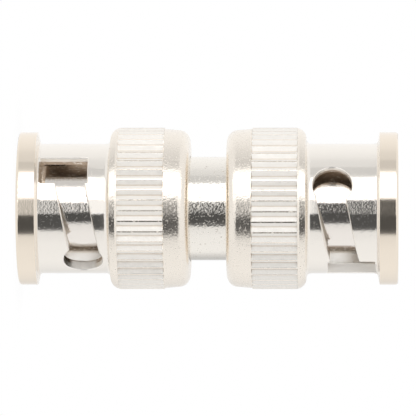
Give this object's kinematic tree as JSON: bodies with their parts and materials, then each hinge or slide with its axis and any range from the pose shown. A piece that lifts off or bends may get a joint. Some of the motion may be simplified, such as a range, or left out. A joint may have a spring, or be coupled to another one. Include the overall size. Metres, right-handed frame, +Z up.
{
  "type": "coaxial bayonet barrel adapter",
  "caption": "Coaxial bayonet adapter: a short plain barrel with a knurled, slotted coupling nut at each end that turns freely and springs back along the axis.",
  "frame": {"origin": "on the axis, in the plane of the lower nut's rim, which the adapter stands on", "axes": "+Z up along the adapter's axis; +X and +Y across it, with the picture's camera on the -Y side"},
  "size_m": [0.0144, 0.0144, 0.034],
  "materials": {
    "nickel_plate": "bright nickel plate over brass",
    "gold_plate": "gold plate over brass",
    "spring_steel": "bright strip",
    "white_plastic": "turned, waxy white",
    "grey_rubber": "matt"
  },
  "bodies": {
    "barrel": {"barrel": "nickel_plate", "center_contact": "gold_plate", "lower_outer_contact": "nickel_plate", "upper_outer_contact": "nickel_plate", "lower_insulator": "white_plastic", "upper_insulator": "white_plastic", "lower_gasket": "grey_rubber", "upper_gasket": "grey_rubber", "lower_front_washer": "spring_steel", "upper_front_washer": "spring_steel", "lower_wave_washer": "spring_steel", "upper_wave_washer": "spring_steel"},
    "lower_washer": {"lower_back_washer": "spring_steel"},
    "upper_washer": {"upper_back_washer": "spring_steel"},
    "lower_nut": {"lower_coupling_nut": "nickel_plate"},
    "upper_nut": {"upper_coupling_nut": "nickel_plate"}
  },
  "joints": [
    {"name": "lower_nut_pull", "type": "slide", "parent": "barrel", "child": "lower_washer", "axis": [0, 0, -1], "range_m": [0, 0.0006], "stiffness_N_per_m": 5000, "deforming": ["lower_wave_washer"]},
    {"name": "lower_nut_turn", "type": "hinge", "parent": "lower_washer", "child": "lower_nut", "pos_m": [0, 0, 0.0137], "axis": [0, 0, 1], "continuous": true},
    {"name": "upper_nut_pull", "type": "slide", "parent": "barrel", "child": "upper_washer", "axis": [0, 0, 1], "range_m": [0, 0.0006], "stiffness_N_per_m": 5000, "deforming": ["upper_wave_washer"]},
    {"name": "upper_nut_turn", "type": "hinge", "parent": "upper_washer", "child": "upper_nut", "pos_m": [0, 0, 0.0203], "axis": [0, 0, 1], "continuous": true}
  ]
}
